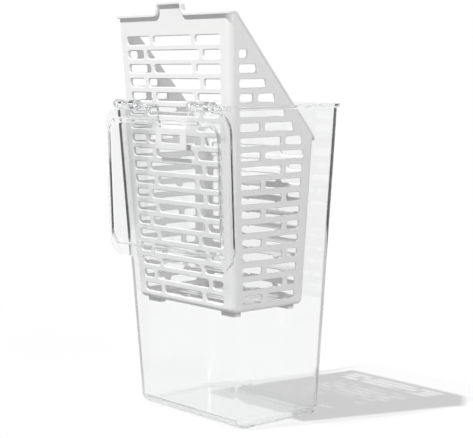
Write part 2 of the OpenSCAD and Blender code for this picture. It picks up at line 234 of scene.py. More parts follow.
class KEEPER_PG_finish(PropertyGroup):
    """Colours of the two plastics."""

    white: colour("White plastic", "Colour of the basket", (0.86, 0.86, 0.855))
    clear: colour("Clear plastic", "Colour that light keeps inside it", (0.90, 0.905, 0.91))
    depth: amount("Clear depth", "Strength of its own colour, for each metre", 160.0)


class KEEPER_PG_stage(PropertyGroup):
    """Camera, lamps and floor."""

    azimuth: angle("Azimuth", "Direction of the camera round the keeper", 49.7)
    pitch: angle("Pitch", "Angle at which the camera looks down", 6.56)
    roll: angle("Roll", "Turn of the camera about its line of sight", -0.4)
    distance: size("Distance", "From the camera to the point it looks at", 1032.0)
    aim_height: size("Aim height", "Height of the point it looks at", 143.45)
    aim_side: size("Aim side", "How far it lies to the right of the middle", 7.53)
    lens: amount("Lens", "Focal length in millimetres", 105.03)
    key: amount("Key", "Strength of the key lamp", 4.2)
    side: amount("Side", "Power of the lamp on the right", 22.0)
    fill: amount("Fill", "Strength of the soft light", 0.3)
    floor_seen: amount("Floor", "Grey of the floor where it is seen", 0.345)
    floor_lift: amount("Floor lift", "White added to the floor where it is seen", 0.487)
    floor_bounce: amount("Floor bounce", "Grey of the floor where it lights other things", 0.25)


class KEEPER_PG_settings(PropertyGroup):
    """All the keeper's settings."""

    container: PointerProperty(type=KEEPER_PG_container)
    hinge: PointerProperty(type=KEEPER_PG_hinge)
    lid: PointerProperty(type=KEEPER_PG_lid)
    basket: PointerProperty(type=KEEPER_PG_basket)
    slots: PointerProperty(type=KEEPER_PG_slots)
    hook: PointerProperty(type=KEEPER_PG_hook)
    finish: PointerProperty(type=KEEPER_PG_finish)
    stage: PointerProperty(type=KEEPER_PG_stage)


# Outlines and rings


def arc(centre, radius, start, end, steps):
    """Points of an arc in a plane, from one angle to another in degrees."""
    angles = [math.radians(start + (end - start) * i / steps) for i in range(steps + 1)]
    return [(centre[0] + radius * math.cos(a), centre[1] + radius * math.sin(a)) for a in angles]


def rounded_box(half, radii, steps, middle=(0, 0)):
    """Points round a rectangle with four corner radii."""
    signs = ((1, 1), (-1, 1), (-1, -1), (1, -1))
    points = []
    for number, ((sx, sy), radius) in enumerate(zip(signs, radii)):
        centre = (middle[0] + sx * (half[0] - radius), middle[1] + sy * (half[1] - radius))
        points += arc(centre, radius, 90 * number, 90 * number + 90, steps)
    return points


def rounded_ring(half, radii, z, middle=(0, 0)):
    """Ring round a rectangle with four corner radii, at one height."""
    return [Vector((x, y, z)) for x, y in rounded_box(half, radii, CORNER_STEPS, middle)]


def round_bend(before, at, after, reach):
    """Points of a true arc that rounds the bend at one point of a profile."""
    start = at + (before - at).normalized() * reach
    end = at + (after - at).normalized() * reach
    turn = (at - before).angle(after - at, 0.0)
    weight = math.cos(turn / 2)
    points = []
    for i in range(BEND_STEPS + 1):
        t = i / BEND_STEPS
        shares = ((1 - t) ** 2, 2 * t * (1 - t) * weight, t * t)
        points.append((start * shares[0] + at * shares[1] + end * shares[2]) / sum(shares))
    return points


def soften_rings(profile):
    """Rings of a profile whose inner rings each have a reach, over which their bend is rounded."""
    rings = [profile[0][0]]
    for (before, _), (at, reach), (after, _) in zip(profile, profile[1:], profile[2:]):
        if reach > 0:
            bends = [round_bend(b, p, a, reach) for b, p, a in zip(before, at, after)]
            rings += [list(ring) for ring in zip(*bends)]
        else:
            rings.append(at)
    rings.append(profile[-1][0])
    return rings


# Meshes


def add_object(name, data):
    """New object in the scene."""
    thing = bpy.data.objects.new(name, data)
    bpy.context.scene.collection.objects.link(thing)
    return thing


def mesh_piece(name, bm):
    """Object that holds a finished mesh."""
    bmesh.ops.recalc_face_normals(bm, faces=bm.faces)
    mesh = bpy.data.meshes.new(name)
    bm.to_mesh(mesh)
    bm.free()
    return add_object(name, mesh)


def add_loft(bm, rings):
    """Closed skin over a stack of rings that all have as many points."""
    rows = [[bm.verts.new(point) for point in ring] for ring in rings]
    count = len(rows[0])
    for low, high in zip(rows, rows[1:]):
        for i in range(count):
            j = (i + 1) % count
            bm.faces.new((low[i], low[j], high[j], high[i]))
    bm.faces.new(rows[0])
    bm.faces.new(rows[-1])


def loft(name, rings):
    """Solid over a stack of rings."""
    bm = bmesh.new()
    add_loft(bm, rings)
    return mesh_piece(name, bm)


def prism(name, outline, axis, start, end):
    """Solid of an outline that runs along X or Y from start to end."""
    if axis == "X":
        rings = [[Vector((along, y, z)) for y, z in outline] for along in (start, end)]
    else:
        rings = [[Vector((x, along, z)) for x, z in outline] for along in (start, end)]
    return loft(name, rings)


def box_outline(x0, x1, y0, y1):
    """Corners of a rectangle."""
    return [(x0, y0), (x1, y0), (x1, y1), (x0, y1)]


def settle(piece):
    """Writes the piece's modifiers into its mesh."""
    seen = piece.evaluated_get(bpy.context.evaluated_depsgraph_get())
    mesh = bpy.data.meshes.new_from_object(seen)
    old = piece.data
    piece.modifiers.clear()
    piece.data = mesh
    mesh.name = piece.name
    bpy.data.meshes.remove(old)


def combine(piece, tool, operation):
    """Adds a tool to the piece, cuts it away or keeps what both share, and removes the tool."""
    modifier = piece.modifiers.new("Combine", "BOOLEAN")
    modifier.operation = operation
    modifier.solver = "MANIFOLD"
    modifier.object = tool
    settle(piece)
    spare = tool.data
    bpy.data.objects.remove(tool)
    bpy.data.meshes.remove(spare)


def round_edges(piece, width):
    """Rounds every edge that is sharper than the smoothing angle."""
    modifier = piece.modifiers.new("Round", "BEVEL")
    modifier.width = width
    modifier.segments = EDGE_STEPS
    modifier.limit_method = "ANGLE"
    modifier.angle_limit = SMOOTH_ANGLE
    modifier.use_clamp_overlap = False
    settle(piece)


def dress(piece, body, material):
    """Shades a piece smooth and sets it on a body of the frame, in the stead of the body's own solid."""
    piece.data.shade_smooth()
    modifier = piece.modifiers.new("Flat faces", "WEIGHTED_NORMAL")
    modifier.mode = "FACE_AREA_WITH_ANGLE"
    modifier.weight = FLAT_WEIGHT
    piece.data.materials.clear()
    piece.data.materials.append(material)
    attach(piece, body)
    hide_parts(body)


# Plastics

# Clear plastic: noise as scale and detail, bump as height and strength
CLEAR_IOR = 1.53
SMEAR_NOISE = (35, 3)
SMEAR_ROUGHNESS = (0.0, 0.035)
WAVE_NOISE = (22, 1)
WAVE_BUMP = (0.4 * MM, 0.12)

# Grey of its shadows, and the bounces inside it after which a share of the light goes straight on
SHADOW_GREY = 0.99
TRAPPED_BOUNCES = 1.5
TRAPPED_SHARE = 0.85

# White plastic: the same, and how dark its faint clouds get
WHITE_IOR = 1.49
CLOUD_NOISE = (40, 4)
CLOUD_SHADE = 0.975
CLOUD_ROUGHNESS = (0.34, 0.46)
GRAIN_NOISE = (2600, 2)
GRAIN_BUMP = (0.03 * MM, 0.25)


def grey(value):
    """Grey colour of one value."""
    return (value, value, value, 1)


class NodeTree:
    """Emptied node tree of a material or world, with short ways to fill it."""

    def __init__(self, owner, output):
        owner.use_nodes = True
        self.owner = owner
        self.nodes = owner.node_tree.nodes
        self.links = owner.node_tree.links
        self.nodes.clear()
        self.output = self.add(output)

    def add(self, kind, values=None):
        """New node, with values for some of its inputs."""
        node = self.nodes.new("ShaderNode" + kind)
        for name, value in (values or {}).items():
            node.inputs[name].default_value = value
        return node

    def shader(self, kind, values):
        """Output of a new shader."""
        return self.add(kind, values).outputs[0]

    def link(self, source, node, name):
        """Leads an output to an input of a node."""
        self.links.new(source, node.inputs[name])

    def place(self):
        """Place in the object's own space."""
        return self.add("TexCoord").outputs["Object"]

    def noise(self, scale, detail):
        """Noise over the object's own space."""
        texture = self.add("TexNoise", {"Scale": scale, "Detail": detail})
        self.link(self.place(), texture, "Vector")
        return texture.outputs["Fac"]

    def spread(self, value, low, high):
        """Value between 0 and 1 spread over another range."""
        node = self.add("MapRange", {"To Min": low, "To Max": high})
        self.link(value, node, "Value")
        return node.outputs["Result"]

    def bump(self, height, distance, strength):
        """Normal that follows a height."""
        node = self.add("Bump", {"Distance": distance, "Strength": strength})
        self.link(height, node, "Height")
        return node.outputs["Normal"]

    def calc(self, operation, first, second):
        """Result of a sum on an output and another output or a number."""
        node = self.add("Math")
        node.operation = operation
        self.link(first, node, 0)
        if isinstance(second, float):
            node.inputs[1].default_value = second
        else:
            self.link(second, node, 1)
        return node.outputs["Value"]

    def vector_calc(self, operation, first, second=(0, 0, 0)):
        """Results of a sum on a vector and a fixed one."""
        node = self.add("VectorMath")
        node.operation = operation
        self.link(first, node, 0)
        node.inputs[1].default_value = second
        return node.outputs

    def mix(self, share, first, second=None):
        """First shader, and in a share of it the second one, or black if there is none."""
        node = self.add("MixShader")
        self.link(share, node, "Fac")
        self.link(first, node, 1)
        if second is not None:
            self.link(second, node, 2)
        return node.outputs["Shader"]


def clear_plastic(name, finish):
    """Clear moulded plastic: faint waves from the mould, a trace of grey, and light shadows."""
    tree = NodeTree(bpy.data.materials.new(name), "OutputMaterial")
    looks = {"Base Color": grey(1), "Transmission Weight": 1, "IOR": CLEAR_IOR}
    glass = tree.add("BsdfPrincipled", looks)
    smears = tree.noise(*SMEAR_NOISE)
    tree.link(tree.spread(smears, *SMEAR_ROUGHNESS), glass, "Roughness")
    waves = tree.noise(*WAVE_NOISE)
    tree.link(tree.bump(waves, *WAVE_BUMP), glass, "Normal")
    through = tree.shader("BsdfTransparent", {"Color": grey(SHADOW_GREY)})
    ray = tree.add("LightPath").outputs
    lights = tree.calc("MAXIMUM", ray["Is Shadow Ray"], ray["Is Diffuse Ray"])
    trapped = tree.calc("GREATER_THAN", ray["Glossy Depth"], TRAPPED_BOUNCES)
    leaves = tree.calc("MULTIPLY", trapped, TRAPPED_SHARE)
    share = tree.calc("MAXIMUM", lights, leaves)
    tree.link(tree.mix(share, glass.outputs["BSDF"], through), tree.output, "Surface")
    depth = tree.shader("VolumeAbsorption", {"Color": (*finish.clear, 1), "Density": finish.depth})
    tree.link(depth, tree.output, "Volume")
    return tree.owner


def white_plastic(finish):
    """White moulded plastic with a satin skin and a fine grain."""
    tree = NodeTree(bpy.data.materials.new("white_plastic"), "OutputMaterial")
    plastic = tree.add("BsdfPrincipled", {"IOR": WHITE_IOR})
    clouds = tree.noise(*CLOUD_NOISE)
    ramp = tree.add("ValToRGB")
    dark, light = ramp.color_ramp.elements
    dark.color = (*[c * CLOUD_SHADE for c in finish.white], 1)
    light.color = (*finish.white, 1)
    tree.link(clouds, ramp, "Fac")
    tree.link(ramp.outputs["Color"], plastic, "Base Color")
    tree.link(tree.spread(clouds, *CLOUD_ROUGHNESS), plastic, "Roughness")
    grain = tree.noise(*GRAIN_NOISE)
    tree.link(tree.bump(grain, *GRAIN_BUMP), plastic, "Normal")
    tree.link(plastic.outputs["BSDF"], tree.output, "Surface")
    return tree.owner


# Container


def rim_sizes(container):
    """Height of the rim and the half width and half depth of the walls there, from the frame."""
    height = HINGE.z + container.hinge_drop
    return height, RIM_CORNER.x - container.rim_out, RIM_CORNER.y - container.rim_out


def drafts(container):
    """How far the side walls and the front wall lean out for each metre of height."""
    height, half_w, half_d = rim_sizes(container)
    return (half_w - container.base_width / 2) / height, (half_d - container.base_depth / 2) / height


def container_shell(container):
    """Container without its notch and lugs: outside, rim and inside in one skin."""
    height = rim_sizes(container)[0]
    side_draft, front_draft = drafts(container)

    def ring(inset, z):
        half_w = container.base_width / 2 + side_draft * z - inset
        half_d = container.base_depth / 2 + front_draft * z - inset
        return rounded_ring((half_w, half_d), [container.corner_radius - inset] * 4, z)

    under_rim = height - container.rim_height
    past_edge = 1.5 * MM
    profile = [
        (ring(container.base_edge + past_edge, 0), 0),
        (ring(0, 0), container.base_edge),
        (ring(0, under_rim), container.rim_round),
        (ring(-container.rim_out, under_rim), container.rim_round),
        (ring(-container.rim_out, height), container.rim_round),
        (ring(container.wall, height), container.rim_round),
        (ring(container.wall, container.floor), container.inner_edge),
        (ring(container.wall + container.inner_edge + past_edge, container.floor), 0),
    ]
    return loft("container", soften_rings(profile))


def notch_cutter(container):
    """Notch in the front wall's rim, narrower at its foot, whose sides run on as far above the rim."""
    height = rim_sizes(container)[0]
    foot = height - container.notch_depth
    half_foot = container.notch_foot / 2
    half_top = container.notch_top / 2
    radius = container.notch_radius
    lean = math.degrees(math.atan2(half_top - half_foot, container.notch_depth))
    right = arc((half_foot - radius, foot + radius), radius, -90, -lean, SMALL_STEPS)
    right.append((2 * half_top - half_foot, height + container.notch_depth))
    left = [(-x, z) for x, z in reversed(right)]
    return prism("notch", right + left, "Y", -2 * RIM_CORNER.y, -container.base_depth / 4)


def hinge_lug(container, hinge, x):
    """Lug with a round eye on an arm from the rim."""
    radius = hinge.barrel / 2
    reach = -HINGE.y - RIM_CORNER.y + container.rim_out + container.wall / 2
    eye = arc((HINGE.y, HINGE.z), radius, 0, 270, EYE_STEPS)
    arm = [(HINGE.y + reach, HINGE.z - radius), (HINGE.y + reach, HINGE.z)]
    lug = prism("lug", eye + arm, "X", x - hinge.lug / 2, x + hinge.lug / 2)
    round_edges(lug, hinge.edge_round)
    return lug


def rod(name, radius, x0, x1, y, z):
    """Round rod along X."""
    return prism(name, arc((y, z), radius, 0, 360, ROD_STEPS)[:-1], "X", x0, x1)


def build_container(settings):
    """Container with its notch, four lugs and stub pins, as one moulding."""
    container = settings.container
    hinge = settings.hinge
    piece = container_shell(container)
    combine(piece, notch_cutter(container), "DIFFERENCE")
    round_edges(piece, container.rim_round)
    for side in (-1, 1):
        for x, towards in ((hinge.inner + hinge.lug / 2, 1), (hinge.outer - hinge.lug / 2, -1)):
            combine(piece, hinge_lug(container, hinge, side * x), "UNION")
            reach = x + towards * (hinge.lug / 2 + hinge.pin_length)
            pin = rod("pin", hinge.pin / 2, side * x, side * reach, HINGE.y, HINGE.z)
            combine(piece, pin, "UNION")
    dress(piece, "container", clear_plastic("clear_body", settings.finish))


# Lid


def lid_shell(container, lid, hinge):
    """Lid without its barrels, shut, from the hinge line: border, slopes and sunk panel in one skin."""
    half_w = RIM_CORNER.x - lid.inset
    near = hinge.barrel / 2 + lid.edge_gap
    free = RIM_CORNER.y - HINGE.y + lid.overhang
    low = container.hinge_drop
    high = low + lid.thickness
    radii = (lid.free_radius, lid.free_radius, lid.hinge_radius, lid.hinge_radius)
    _, wall_w, wall_d = rim_sizes(container)
    shrink = container.wall + lid.play
    pan = (wall_w - shrink, wall_d - shrink)
    panel = (pan[0] - lid.slope_side, pan[1] - lid.slope_end)
    pan_radii = [container.corner_radius - container.wall] * 4
    middle = (0, -HINGE.y)

    def border(z):
        return rounded_ring((half_w, (free - near) / 2), radii, z, (0, (free + near) / 2))

    def pan_ring(z):
        return rounded_ring(pan, pan_radii, z, middle)

    def panel_ring(z, inset=0):
        half = (panel[0] - inset, panel[1] - inset)
        return rounded_ring(half, [lid.panel_radius - inset] * 4, z, middle)

    past_bend = 3 * MM
    profile = [
        (panel_ring(low - lid.sink, past_bend), 0),
        (panel_ring(low - lid.sink), lid.bend),
        (pan_ring(low), lid.bend),
        (border(low), lid.edge_round),
        (border(high), lid.edge_round),
        (pan_ring(high), lid.bend),
        (panel_ring(high - lid.sink), lid.bend),
        (panel_ring(high - lid.sink, past_bend), 0),
    ]
    return loft("lid", soften_rings(profile))


def lid_barrel(container, lid, hinge, side):
    """Barrel with its tongue to the lid and a blind bore at each end."""
    x0 = hinge.inner + hinge.lug + hinge.lug_gap
    x1 = hinge.outer - hinge.lug - hinge.lug_gap
    radius = hinge.barrel / 2
    reach = radius + 2 * lid.edge_gap + lid.edge_round
    low = container.hinge_drop
    high = low + lid.thickness
    from_top = math.degrees(math.asin(high / radius))
    to_foot = 360 + math.degrees(math.asin(low / radius))
    eye = arc((0, 0), radius, from_top, to_foot, BARREL_STEPS)
    barrel = prism("barrel", eye + [(reach, low), (reach, high)], "X", side * x0, side * x1)
    round_edges(barrel, hinge.edge_round)
    bore = hinge.pin_length + hinge.lug_gap
    for end, inwards in ((x0, 1), (x1, -1)):
        tip = end + inwards * bore
        mouth = end - inwards * hinge.lug
        hole = rod("bore", hinge.pin / 2 + hinge.pin_play, side * mouth, side * tip, 0, 0)
        combine(barrel, hole, "DIFFERENCE")
    return barrel


def build_lid(settings):
    """Lid with its two barrels, as one moulding, hung from the hinge line."""
    piece = lid_shell(settings.container, settings.lid, settings.hinge)
    for side in (-1, 1):
        combine(piece, lid_barrel(settings.container, settings.lid, settings.hinge, side), "UNION")
    turn = math.radians(270) + settings.lid.lean
    piece.data.transform(Matrix.Translation(HINGE) @ Matrix.Rotation(turn, 4, "X"))
    dress(piece, "lid", clear_plastic("clear_lid", settings.finish))


# Basket

# Angles round the edge of a slot, and how far its cutter stands outside the wall
FLARE_ANGLES = (75, 50, 25, 0)
FLARE_OUTSIDE = 0.15 * MM

# How far the basket's blanks run past what trims them, and the least wall from a slot to the arm
OVERRUN = 1 * MM
ARM_MARGIN = 1 * MM

# Length left between two corners of a short slot, so that their points stay apart
LEAST_FLAT = 0.02 * MM


class BasketForm:
    """Places on the basket that several of its features share, measured from the middle of its foot."""

    def __init__(self, settings):
        basket = settings.basket
        container = settings.container
        self.basket = basket
        self.slots = settings.slots
        self.hook = settings.hook
        self.container = container
        self.side_draft, self.front_draft = drafts(container)
        self.foot_z = BASKET_FOOT.z + basket.foot_height
        wall_y = container.base_depth / 2 + self.front_draft * self.foot_z
        self.middle_y = basket.base_depth / 2 - (wall_y - container.wall - basket.play)
        self.tab_top = basket.height + basket.tab_height
        self.slope_y0 = -self.half_d(basket.height) + basket.shoulder
        self.slope_y1 = self.half_d(basket.back_height)
        self.slope_run = (self.slope_y1 - self.slope_y0) / (basket.height - basket.back_height)
        self.slope_turn = math.atan(1 / self.slope_run)

    def half_w(self, z):
        """Half width of the outside at a height."""
        return self.basket.base_width / 2 + self.side_draft * z

    def half_d(self, z):
        """Half depth of the outside at a height."""
        return self.basket.base_depth / 2 + self.front_draft * z

    def slope_y(self, z):
        """Place of the sloping edge at a height."""
        return self.slope_y0 + (self.basket.height - z) * self.slope_run

    def ring(self, inset, z):
        """Ring round the walls at a height."""
        half = (self.half_w(z) - inset, self.half_d(z) - inset)
        return rounded_ring(half, [self.basket.corner_radius - inset] * 4, z)


def basket_body(form):
    """Solid of the basket's outside."""
    basket = form.basket
    past_edge = 0.5 * MM
    profile = [
        (form.ring(basket.base_edge + past_edge, 0), 0),
        (form.ring(0, 0), basket.base_edge),
        (form.ring(0, form.tab_top + OVERRUN), 0),
    ]
    return loft("basket", soften_rings(profile))


def basket_hollow(form):
    """Solid of the basket's inside."""
    basket = form.basket
    past_edge = 0.1 * MM
    edge = min(basket.base_edge - basket.wall / 2, basket.corner_radius - basket.wall - 2 * past_edge)
    profile = [
        (form.ring(basket.wall + edge + past_edge, basket.floor), 0),
        (form.ring(basket.wall, basket.floor), edge),
        (form.ring(basket.wall, form.tab_top + 2 * OVERRUN), 0),
    ]
    return loft("hollow", soften_rings(profile))


def crown_outline(form, inset):
    """Front view of the tall wall: level top with a tab, lowered and narrowed by an inset."""
    basket = form.basket
    half_tab = basket.tab_width / 2 - inset
    flare = basket.tab_radius + inset
    corner = max(basket.tab_radius - inset, basket.tab_radius / 4)
    top = form.tab_top - inset
    level = basket.height - inset
    half_w = form.half_w(basket.height) + basket.lip_out + OVERRUN
    right = [(half_w, level)]
    right += arc((half_tab + flare, level + flare), flare, 270, 180, SMALL_STEPS)
    right += arc((half_tab - corner, top - corner), corner, 0, 90, SMALL_STEPS)
    left = [(-x, z) for x, z in reversed(right)]
    low = -basket.foot_height - OVERRUN
    return [(-half_w, low), (half_w, low)] + right + left


def side_outline(form, level_drop, slope_drop):
    """Side view of all that lies below the shoulder and the sloping edge, each lowered by a drop."""
    basket = form.basket
    reach = form.half_d(form.tab_top) + basket.lip_out + OVERRUN
    low = -basket.foot_height - OVERRUN
    top = form.tab_top + OVERRUN
    back = basket.back_height - (reach - form.slope_y1) / form.slope_run - slope_drop
    radius = basket.knee - level_drop
    knee = form.slope_y0 + form.slope_run * (level_drop - slope_drop)
    knee -= radius * math.tan(form.slope_turn / 2)
    centre = (knee, basket.height - level_drop - radius)
    bend = arc(centre, radius, 90 - math.degrees(form.slope_turn), 90, SMALL_STEPS)
    return [(-reach, low), (reach, low), (reach, back), *bend, (knee, top), (-reach, top)]


def below_edge(form, level_drop, slope_drop):
    """Solid of all that lies below the basket's top edge."""
    wide = 2 * RIM_CORNER.x
    solid = prism("crown", crown_outline(form, level_drop), "Y", -wide, wide)
    side = prism("slope", side_outline(form, level_drop, slope_drop), "X", -wide, wide)
    combine(solid, side, "INTERSECT")
    return solid


def basket_lip(form):
    """Lip that follows the top edge all round."""
    basket = form.basket
    radii = [basket.lip_corner] * 4
    grow = (basket.lip_out + basket.back_out) / 2
    middle = (0, (basket.back_out - basket.lip_out) / 2)
    low = basket.back_height - basket.back_out / form.slope_run - basket.tip
    rings = [
        rounded_ring((form.half_w(z) + basket.edge_out, form.half_d(z) + grow), radii, z, middle)
        for z in (low, form.tab_top + OVERRUN)
    ]
    lip = loft("lip", rings)
    combine(lip, below_edge(form, 0, 0), "INTERSECT")
    slope_drop = basket.edge / math.cos(form.slope_turn)
    combine(lip, below_edge(form, basket.lip, slope_drop), "DIFFERENCE")
    return lip


def slot_ring(place, half, corner, depth):
    """Ring of a slot with round corners, at a depth below the wall's outer face."""
    origin, along, up, out = place
    outline = rounded_box(half, [corner] * 4, SLOT_STEPS)
    return [origin + along * u + up * v - out * depth for u, v in outline]


def slot_flare(slots, thickness):
    """Depths below the outer face, and how far the slot has grown there, for round edges."""
    radius = slots.edge_round
    turns = [math.radians(degrees) for degrees in FLARE_ANGLES]
    steps = [(radius * (1 - math.sin(turn)), radius * (1 - math.cos(turn))) for turn in turns]
    depth, grow = steps[0]
    steps.insert(0, (-FLARE_OUTSIDE, grow + (depth + FLARE_OUTSIDE) * math.tan(turns[0])))
    return steps + [(thickness - depth, grow) for depth, grow in reversed(steps)]


def wall_frame(form, wall, u, z):
    """Point on a wall's outer face, with the directions along it, up it and out of it."""
    side, front = form.side_draft, form.front_draft
    walls = {
        "front": ((u, -form.half_d(z), z), (1, 0, 0), (0, -front, 1)),
        "back": ((u, form.half_d(z), z), (-1, 0, 0), (0, front, 1)),
        "right": ((form.half_w(z), u, z), (0, 1, 0), (side, 0, 1)),
        "left": ((-form.half_w(z), u, z), (0, -1, 0), (-side, 0, 1)),
        "floor": ((u, z, 0), (1, 0, 0), (0, -1, 0)),
    }
    origin, along, up = [Vector(v) for v in walls[wall]]
    up.normalize()
    return origin, along, up, along.cross(up)


def add_slots(bm, form, walls, spans, z):
    """Cutters of one row of slots in some walls, each a round hole where its span is short."""
    slots = form.slots
    tall = slots.height / 2
    for wall, (start, end) in itertools.product(walls, spans):
        thickness = form.basket.floor if wall == "floor" else form.basket.wall
        half = max(abs(end - start) / 2, tall)
        corner = tall - LEAST_FLAT / 2 if half <= tall else slots.corner
        place = wall_frame(form, wall, (start + end) / 2, z)
        rings = [
            slot_ring(place, (half + grow, tall + grow), corner + grow, depth)
            for depth, grow in slot_flare(slots, thickness)
        ]
        add_loft(bm, rings)


def three_spans(middle, bar, edge):
    """Spans of a middle slot and of a slot at each side of it."""
    return [(-middle, middle), (-middle - bar, -edge), (middle + bar, edge)]


def front_spans(form, odd, z):
    """Spans of a front or back row, without the middle one where the hook's arm is."""
    slots = form.slots
    middle = (slots.odd_middle if odd else slots.even_middle) / 2
    spans = three_spans(middle, slots.bar, form.half_w(z) - slots.front_margin)
    arm_z = form.hook.seat + form.hook.arm / 2
    by_arm = abs(z - arm_z) < (slots.height + form.hook.arm) / 2 + ARM_MARGIN
    return spans[1:] if by_arm else spans


def side_spans(form, odd, z):
    """Spans of a side row, cut short by the sloping edge and split in two where it is long."""
    slots = form.slots
    start = -form.half_d(z) + slots.side_margin
    by_slope = form.slope_y(z + slots.height / 2) - slots.slope_margin
    end = min(by_slope, form.half_d(z) - slots.front_margin)
    run = end - start
    lead = min(slots.side_short, slots.lead_share * run) if odd else slots.side_long
    least = slots.split_run if odd else slots.side_long + slots.bar + slots.height
    if run > least:
        return [(start, start + lead), (start + lead + slots.bar, end)]
    if run > slots.height / 2:
        return [(start, max(end, start + slots.height))]
    return []


def slot_cutters(form):
    """Cutters of all the basket's slots, in rows down its walls and across its floor."""
    slots = form.slots
    basket = form.basket
    first = basket.height - slots.first_drop
    rows = math.floor((first - slots.last_rise) / slots.pitch) + 1
    back = math.ceil((first - basket.back_height + slots.front_margin) / slots.pitch) + 1
    bm = bmesh.new()
    for row in range(1, rows + 1):
        odd = row % 2 == 1
        z = first - (row - 1) * slots.pitch
        ends = ("front", "back") if row >= back else ("front",)
        add_slots(bm, form, ends, front_spans(form, odd, z), z)
        add_slots(bm, form, ("left", "right"), side_spans(form, odd, z), z)
    reach = basket.base_depth / 2 - slots.front_margin - slots.height
    count = math.floor(reach / slots.pitch)
    edge = basket.base_width / 2 - slots.front_margin - slots.bar
    for i in range(count + 1):
        y = (i - count / 2) * 2 * slots.pitch
        add_slots(bm, form, ("floor",), three_spans(slots.odd_middle / 2, slots.bar, edge), y)
    return mesh_piece("slots", bm)


def board(name, width, z0, z1, y0, y1):
    """Upright board that faces Y, in the middle of X."""
    return prism(name, box_outline(-width / 2, width / 2, z0, z1), "Y", y0, y1)


def basket_hook(form):
    """Arm over the foot of the notch and an upright plate with a window."""
    hook = form.hook
    container = form.container
    widen = (container.notch_top - container.notch_foot) / container.notch_depth
    pass_height = max(hook.width - container.notch_foot, 0) / widen
    reach = form.basket.play + container.wall + form.front_draft * pass_height + hook.play + hook.plate
    face = -form.half_d(hook.seat)
    front = face - reach
    foot = hook.seat - hook.drop
    top = hook.seat + hook.arm
    plate = board("hook", hook.width, foot, top, front, front + hook.plate)
    z0 = (foot + top - hook.window_height) / 2
    z1 = z0 + hook.window_height
    window = board("window", hook.window_width, z0, z1, front - hook.plate, front + 2 * hook.plate)
    combine(plate, window, "DIFFERENCE")
    inside = face + form.basket.wall / 2
    arm = board("arm", hook.arm_width, hook.seat, top, front + hook.plate / 2, inside)
    combine(plate, arm, "UNION")
    round_edges(plate, hook.edge_round)
    return plate


def basket_foot(form, x, y):
    """One of the four feet, at a corner of the floor."""
    basket = form.basket
    middle = (
        x * (basket.base_width / 2 - basket.corner_radius - basket.foot_length / 2),
        y * (basket.base_depth / 2 - basket.corner_radius - basket.foot_width / 2),
    )
    half = (basket.foot_length / 2, basket.foot_width / 2)
    radii = [basket.foot_width / 4] * 4
    rings = [rounded_ring(half, radii, z, middle) for z in (-basket.foot_height, basket.floor / 2)]
    foot = loft("foot", rings)
    round_edges(foot, basket.edge_round)
    return foot


def build_basket(settings):
    """Basket with its lip, tab, slots, hook and feet, as one moulding, raised on the hook."""
    form = BasketForm(settings)
    piece = basket_body(form)
    combine(piece, below_edge(form, 0, 0), "INTERSECT")
    combine(piece, basket_lip(form), "UNION")
    combine(piece, basket_hollow(form), "DIFFERENCE")
    round_edges(piece, form.basket.edge_round)
    combine(piece, slot_cutters(form), "DIFFERENCE")
    combine(piece, basket_hook(form), "UNION")
    for x, y in itertools.product((-1, 1), repeat=2):
        combine(piece, basket_foot(form, x, y), "UNION")
    piece.data.transform(Matrix.Translation((0, form.middle_y, form.foot_z)))
    dress(piece, "basket", white_plastic(settings.finish))


# Stage

# Camera's sensor in millimetres, and the lamps' directions, place and sizes
SENSOR_WIDTH = 36
KEY_ANGLE = math.radians(1.3)
KEY_DIRECTION = (0.143, 0.519, -0.842)
SIDE_WIDTH = 0.9
SIDE_PLACE = (2.2, -0.25, 0.46)
SIDE_DIRECTION = (-2.2, 0.25, -0.3)

# Floor: half its width, its gap under the keeper, and the distances over which it fades to white
FLOOR_HALF = 6.0
FLOOR_GAP = 0.2 * MM
FLOOR_FADE = (0.25, 0.5)

# Painted dark reflection for the clear edges: part of the floor that is black only to rays from inside
# clear plastic.
# Its direction from the keeper, the least cosine to it, the distances over which it rises far off and
# close by, and its share close by
PAINTED_SHADE_SIDE = (-0.763, 0.647, 0)
PAINTED_SHADE_COSINE = 0.22
PAINTED_SHADE_FAR = (0.7, 1.1)
PAINTED_SHADE_NEAR = (0.02, 0.15)
NEAR_SHARE = 0.2

# A ray that goes through fewer faces than this has met one clear wall only
ONE_WALL_FACES = 2.5


def add_camera(stage):
    """Camera at the photograph's viewing angle."""
    data = bpy.data.cameras.new("camera")
    data.lens = stage.lens
    data.sensor_width = SENSOR_WIDTH
    camera = add_object("camera", data)
    turn = Matrix.Rotation(stage.azimuth, 4, "Z")
    target = Matrix.Translation((stage.aim_side, 0, stage.aim_height))
    tilt = Matrix.Rotation(math.radians(90) - stage.pitch, 4, "X")
    roll = Matrix.Rotation(stage.roll, 4, "Z")
    back = Matrix.Translation((0, 0, stage.distance))
    camera.matrix_world = turn @ target @ tilt @ roll @ back
    bpy.context.scene.camera = camera


def add_lamp(data, energy, direction):
    """Lamp that shines along a direction, and isn't seen through clear plastic."""
    data.energy = energy
    lamp = add_object(data.name, data)
    lamp.rotation_euler = Vector(direction).to_track_quat("-Z", "Y").to_euler()
    lamp.visible_transmission = False
    return lamp


def add_key(stage):
    """Key lamp from the front left, high up, small enough for a clear shadow."""
    data = bpy.data.lights.new("key", "SUN")
    data.angle = KEY_ANGLE
    add_lamp(data, stage.key, KEY_DIRECTION)


def add_side_lamp(stage):
    """Wide soft lamp on the right, for the shaded side."""
    data = bpy.data.lights.new("side", "AREA")
    data.shape = "SQUARE"
    data.size = SIDE_WIDTH
    add_lamp(data, stage.side, SIDE_DIRECTION).location = SIDE_PLACE


def seen_share(tree):
    """1 for rays that show the surroundings, and 0 for rays that light a matt surface."""
    ray = tree.add("LightPath").outputs
    seen = ray["Is Camera Ray"]
    for kind in ("Is Transmission Ray", "Is Glossy Ray"):
        seen = tree.calc("MAXIMUM", seen, ray[kind])
    return tree.calc("GREATER_THAN", seen, ray["Diffuse Depth"])


